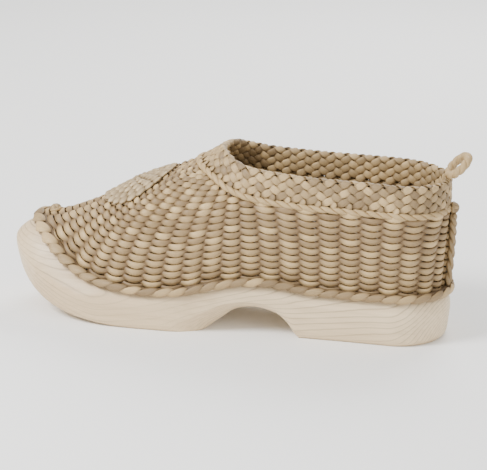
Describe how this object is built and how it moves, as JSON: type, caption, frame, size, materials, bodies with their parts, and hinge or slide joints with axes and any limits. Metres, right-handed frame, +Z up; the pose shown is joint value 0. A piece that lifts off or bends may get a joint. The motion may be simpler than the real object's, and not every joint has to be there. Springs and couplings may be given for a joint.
{
  "type": "willow clog",
  "caption": "Right-foot slip-on clog: a hollow woven willow upper with a plaited collar, rosette and pull loop, bordered on to a carved wooden sole with toe spring, arch and low heel.",
  "frame": {"origin": "middle of the whole shoe's box, on the floor", "axes": "+Z up, -X towards the toe, +X towards the heel, -Y the inner side of a right foot"},
  "size_m": [0.286, 0.1088, 0.1185],
  "materials": {
    "carved_wood": "smoothly carved pale wood, satin, with long grain lines",
    "willow_weave": "peeled buff willow, woven, soft satin",
    "willow_braid": "split buff willow, plaited and twisted, matt",
    "willow_rosette": "peeled pale willow, folded in small loops, satin"
  },
  "bodies": {
    "root": {"sole": "carved_wood", "upper": "willow_weave", "sole_border": "willow_braid", "collar": "willow_braid", "collar_cord": "willow_braid", "heel_seam": "willow_braid", "heel_knot": "willow_braid", "heel_loop": "willow_braid", "rosette": "willow_rosette", "toe_knot": "willow_braid"}
  },
  "joints": []
}
